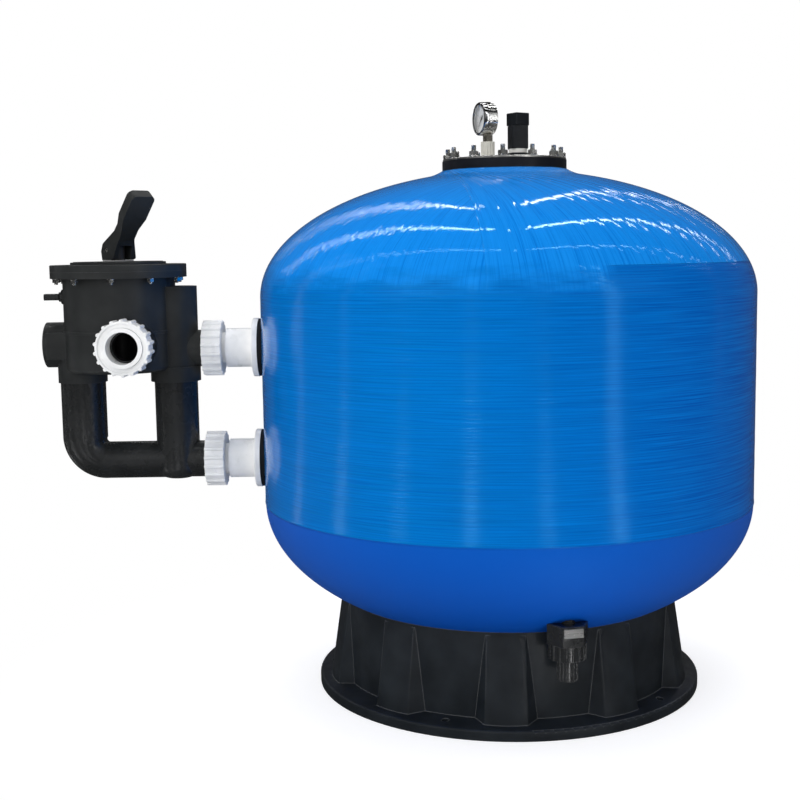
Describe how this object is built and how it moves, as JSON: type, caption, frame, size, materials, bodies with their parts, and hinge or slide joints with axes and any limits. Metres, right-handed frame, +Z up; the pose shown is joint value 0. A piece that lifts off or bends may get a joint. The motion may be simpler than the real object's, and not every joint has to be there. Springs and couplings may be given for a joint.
{
  "type": "sand filter tank",
  "caption": "Side-mount pool sand filter: domed wound tank on a ribbed skirt, bolted closure with gauge and vent, lever valve with port loop, and a drain.",
  "frame": {"origin": "centre of the tank's foot, on the floor", "axes": "+Z up along the tank's axis; the side valve stands on -X; its pump port and the drain face -Y"},
  "size_m": [1.443, 1, 1.1856],
  "materials": {
    "wound_shell": "wound glass fibre under a clear blue gel coat",
    "skirt_plastic": "moulded black, fine grain",
    "collar_plastic": "moulded black",
    "seal_rubber": "soft black",
    "plug_rubber": "soft black",
    "closure_steel": "rolled stainless plate",
    "stud_steel": "cut thread",
    "washer_steel": "pressed, bright",
    "nut_steel": "turned, bright",
    "adaptor_plastic": "pale moulded",
    "gauge_brass": "plated brass",
    "gauge_steel": "drawn and polished",
    "gauge_bronze": "plain bronze",
    "movement_brass": "plain brass",
    "dial_white": "white enamel",
    "gauge_glass": "clear",
    "bezel_chrome": "polished",
    "needle_black": "black enamel",
    "vent_nut_plastic": "moulded black",
    "vent_washer_white": "pale moulded",
    "vent_plastic": "moulded black, faint sheen",
    "valve_plastic": "moulded black, satin",
    "pipe_plastic": "moulded black, glossy",
    "lid_plastic": "moulded black, satin",
    "bolt_steel": "bright stainless",
    "spring_steel": "drawn spring wire",
    "indicator_plastic": "moulded dark grey",
    "plug_plastic": "moulded black",
    "thrust_plastic": "self-lubricating grey plastic",
    "rotor_plastic": "moulded dark grey",
    "handle_plastic": "moulded black, satin",
    "pin_steel": "ground stainless",
    "union_white": "white moulded",
    "bulkhead_white": "white moulded",
    "inner_plastic": "plain white moulded",
    "drain_plastic": "moulded black, satin",
    "drain_plate_steel": "plain bright plate"
  },
  "bodies": {
    "tank": {"tank_shell": "wound_shell", "tank_base": "skirt_plastic", "neck_collar": "collar_plastic", "neck_seal": "seal_rubber", "lid_plate": "closure_steel", "lid_studs": "stud_steel", "lid_washers": "washer_steel", "lid_nuts": "nut_steel", "gauge_adaptor": "adaptor_plastic", "gauge_stem": "gauge_brass", "gauge_case": "gauge_steel", "gauge_fill_plug": "plug_rubber", "bourdon_tube": "gauge_bronze", "gauge_movement": "movement_brass", "gauge_dial": "dial_white", "gauge_lens": "gauge_glass", "gauge_bezel": "bezel_chrome", "vent_locknut": "vent_nut_plastic", "vent_washer": "vent_washer_white", "vent_body": "vent_plastic", "valve_body": "valve_plastic", "port_loop": "pipe_plastic", "valve_lid": "lid_plastic", "valve_lid_oring": "seal_rubber", "valve_lid_bolts": "bolt_steel", "valve_lid_washers": "bolt_steel", "valve_lid_nuts": "bolt_steel", "rotor_gasket": "seal_rubber", "rotor_spring": "spring_steel", "indicator_plate": "indicator_plastic", "body_plug": "plug_plastic", "union_tails": "union_white", "lower_union_nut": "union_white", "upper_union_nut": "union_white", "bulkheads": "bulkhead_white", "bulkhead_gaskets": "seal_rubber", "bulkhead_backnuts": "inner_plastic", "inlet_pipe": "inner_plastic", "diffuser": "inner_plastic", "outlet_pipe": "inner_plastic", "lateral_hub": "inner_plastic", "laterals": "inner_plastic", "drain_body": "drain_plastic", "drain_face_plate": "drain_plate_steel", "drain_backnut": "drain_plastic"},
    "selector": {"thrust_washer": "thrust_plastic"},
    "rotor_set": {"rotor": "rotor_plastic", "rotor_stem": "rotor_plastic", "handle_pin": "pin_steel"},
    "lever": {"handle": "handle_plastic"},
    "needle": {"gauge_needle": "needle_black"},
    "vent_lift": {"vent_seal": "seal_rubber"},
    "vent_cap": {"vent_cap": "vent_plastic"},
    "pump_tail": {"pump_union_tail": "union_white"},
    "pump_nut": {"pump_union_nut": "union_white"},
    "drain_tail": {"drain_tail": "drain_plastic"},
    "drain_nut": {"drain_union_nut": "drain_plastic"},
    "drain_lift": {"drain_seal": "seal_rubber"},
    "drain_cap": {"drain_cap": "drain_plastic"}
  },
  "joints": [
    {"name": "selector_turn", "type": "hinge", "parent": "tank", "child": "selector", "pos_m": [-0.79, 0, 0.88], "axis": [0, 0, 1], "continuous": true},
    {"name": "rotor_lift", "type": "slide", "parent": "selector", "child": "rotor_set", "axis": [0, 0, 1], "range_m": [0, 0.006], "stiffness_N_per_m": 2500, "springref_m": -0.008, "deforming": ["rotor_spring"]},
    {"name": "handle_press", "type": "hinge", "parent": "rotor_set", "child": "lever", "pos_m": [-0.79, 0, 0.9008], "axis": [0.7071, 0.7071, 0], "range_deg": [0, 28]},
    {"name": "needle_sweep", "type": "hinge", "parent": "tank", "child": "needle", "pos_m": [-0.04586, -0.00443, 1.1524], "axis": [0.9455, 0.3256, 0], "range_deg": [0, 270], "stiffness_Nm_per_rad": 0.0004},
    {"name": "vent_rise", "type": "slide", "parent": "tank", "child": "vent_lift", "axis": [0, 0, 1], "range_m": [0, 0.0075]},
    {"name": "vent_turn", "type": "hinge", "parent": "vent_lift", "child": "vent_cap", "pos_m": [0.028, 0, 1.15], "axis": [0, 0, 1], "range_deg": [0, 1080]},
    {"name": "pump_tail_slide", "type": "slide", "parent": "tank", "child": "pump_tail", "axis": [0, -1, 0], "range_m": [0, 0.01]},
    {"name": "pump_nut_turn", "type": "hinge", "parent": "pump_tail", "child": "pump_nut", "pos_m": [-0.755, -0.144, 0.711], "axis": [0, -1, 0], "range_deg": [0, 900]},
    {"name": "drain_tail_drop", "type": "slide", "parent": "tank", "child": "drain_tail", "axis": [0, 0, -1], "range_m": [0, 0.009]},
    {"name": "drain_nut_turn", "type": "hinge", "parent": "drain_tail", "child": "drain_nut", "pos_m": [0.07815, -0.38413, 0.168], "axis": [0, 0, -1], "range_deg": [0, 1080]},
    {"name": "drain_seal_drop", "type": "slide", "parent": "drain_tail", "child": "drain_lift", "axis": [0, 0, -1], "range_m": [0, 0.009]},
    {"name": "drain_cap_turn", "type": "hinge", "parent": "drain_lift", "child": "drain_cap", "pos_m": [0.07815, -0.38413, 0.13], "axis": [0, 0, -1], "range_deg": [0, 1080]}
  ],
  "couplings": [
    {"joint": "rotor_lift", "follows": "handle_press", "m_per_rad": 0.012278},
    {"joint": "vent_rise", "follows": "vent_turn", "m_per_rad": 0.00039789},
    {"joint": "pump_tail_slide", "follows": "pump_nut_turn", "m_per_rad": 0.00063662},
    {"joint": "drain_tail_drop", "follows": "drain_nut_turn", "m_per_rad": 0.00047746},
    {"joint": "drain_seal_drop", "follows": "drain_cap_turn", "m_per_rad": 0.00047746}
  ]
}
